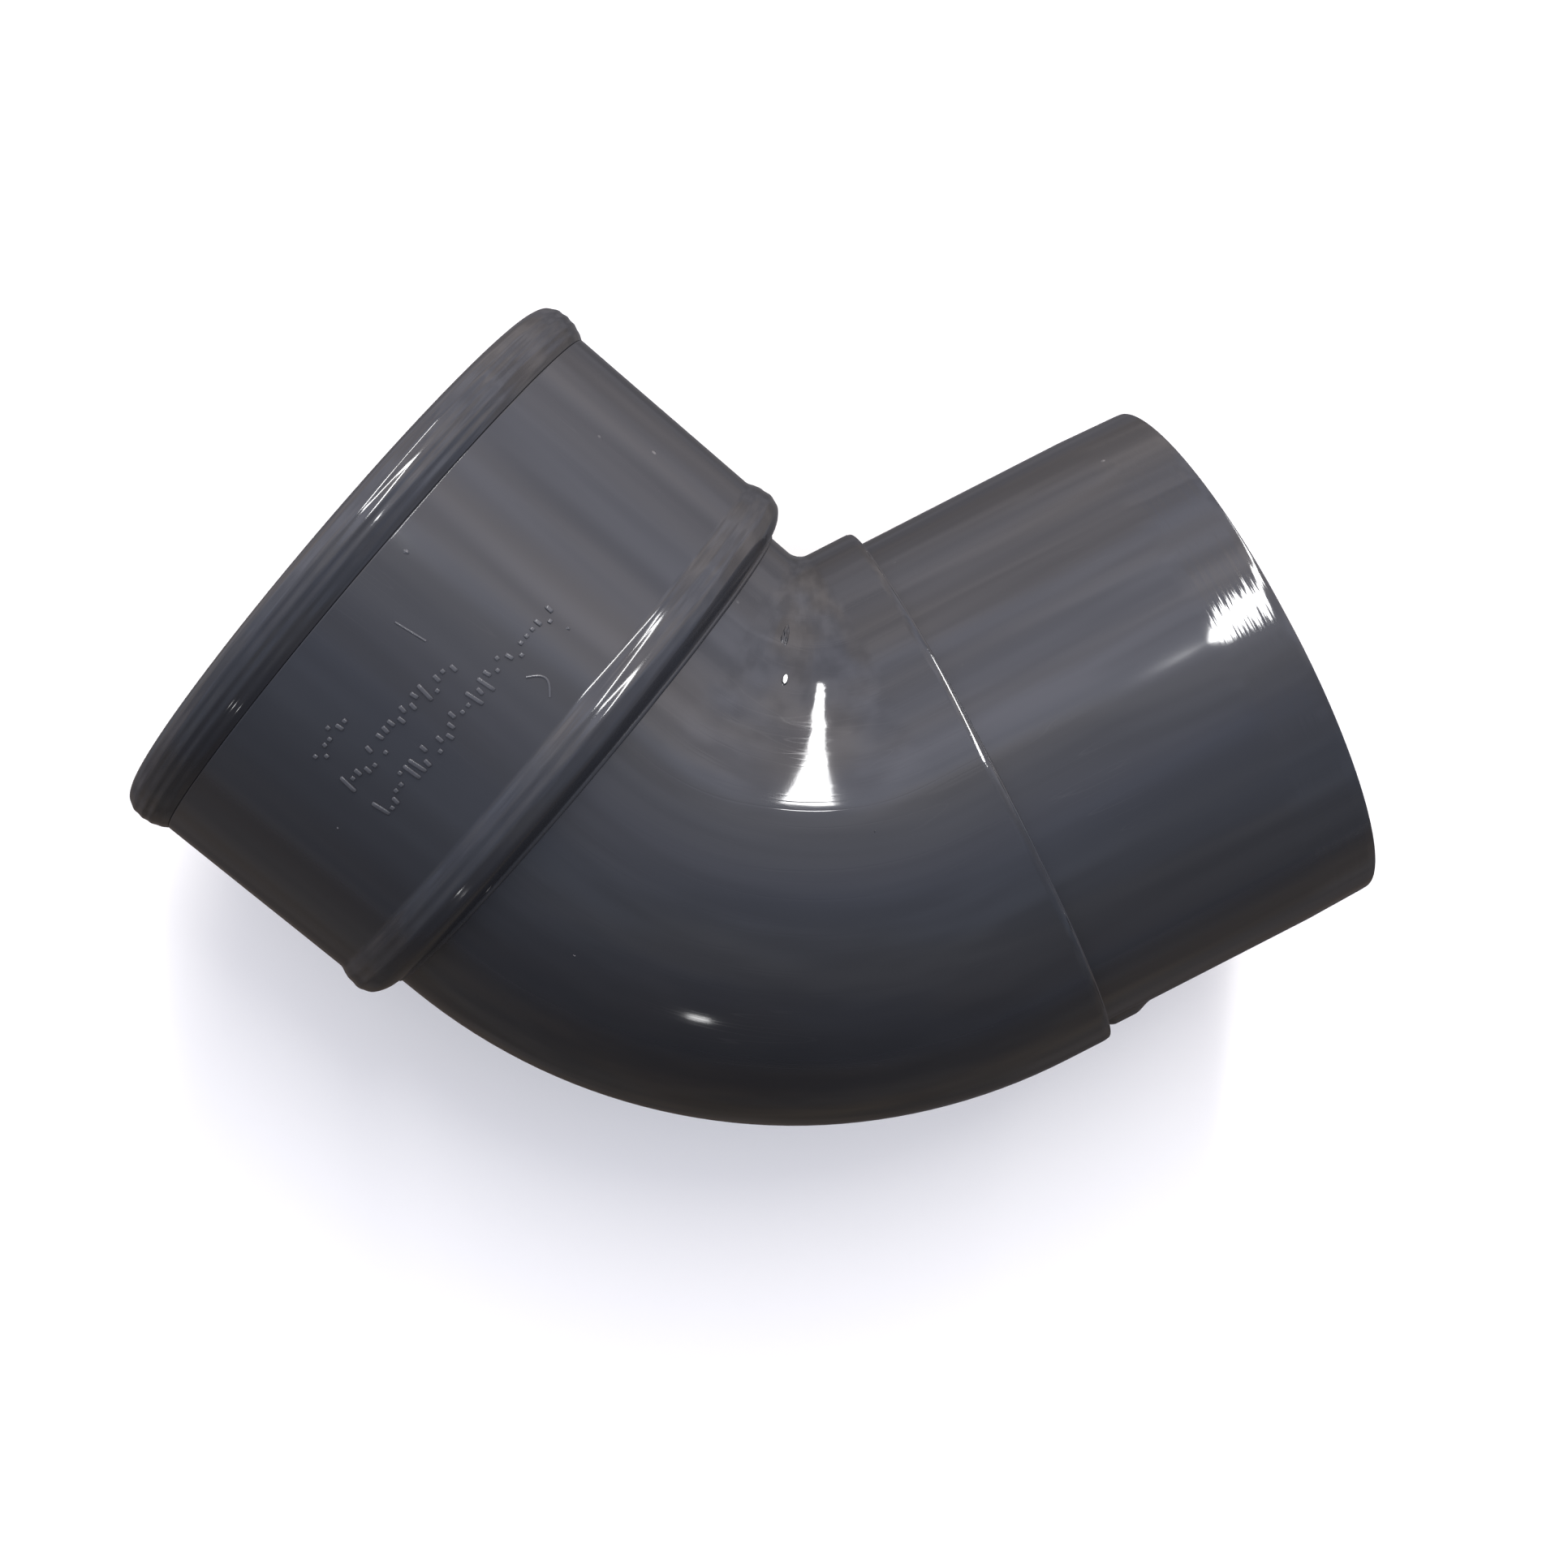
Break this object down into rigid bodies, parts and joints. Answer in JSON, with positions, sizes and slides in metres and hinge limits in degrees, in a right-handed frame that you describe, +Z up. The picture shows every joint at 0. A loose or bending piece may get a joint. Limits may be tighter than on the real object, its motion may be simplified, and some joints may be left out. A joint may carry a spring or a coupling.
{
  "type": "downpipe offset bend",
  "caption": "Grey plastic offset bend for a round downpipe: a socket with a retaining ring and lip seal on one arm, a bent barrel, and a plain spigot on the other arm.",
  "frame": {"origin": "on the socket's axis at the pipe stop, where the end of the pipe comes to rest", "axes": "-X out of the socket's mouth, +Y on the side that the spigot turns to, +Z up as the bend lies on its side, square to its plane of symmetry"},
  "size_m": [0.1254, 0.1165, 0.0804],
  "materials": {
    "pvc_barrel": "glossy moulded dark grey plastic",
    "pvc_collar": "glossy moulded dark grey plastic with raised marks",
    "pvc_spigot": "glossy dark grey plastic with fine drawn streaks",
    "pvc_ring": "glossy moulded dark grey plastic",
    "seal_rubber": "matt black rubber",
    "cement": "cured solvent cement, slightly cloudy"
  },
  "bodies": {
    "fitting": {"bend_barrel": "pvc_barrel", "socket_collar": "pvc_collar", "spigot_stub": "pvc_spigot", "socket_cement": "cement", "spigot_cement": "cement"},
    "ring": {"retaining_ring": "pvc_ring"},
    "seal": {"lip_seal": "seal_rubber"}
  },
  "joints": [
    {"name": "ring_pull", "type": "slide", "parent": "fitting", "child": "ring", "axis": [-1, 0, 0], "range_m": [0, 0.04]},
    {"name": "seal_pull", "type": "slide", "parent": "fitting", "child": "seal", "axis": [-1, 0, 0], "range_m": [0, 0.02]}
  ],
  "couplings": [
    {"joint": "seal_pull", "follows": "ring_pull", "ratio": 0.5}
  ]
}
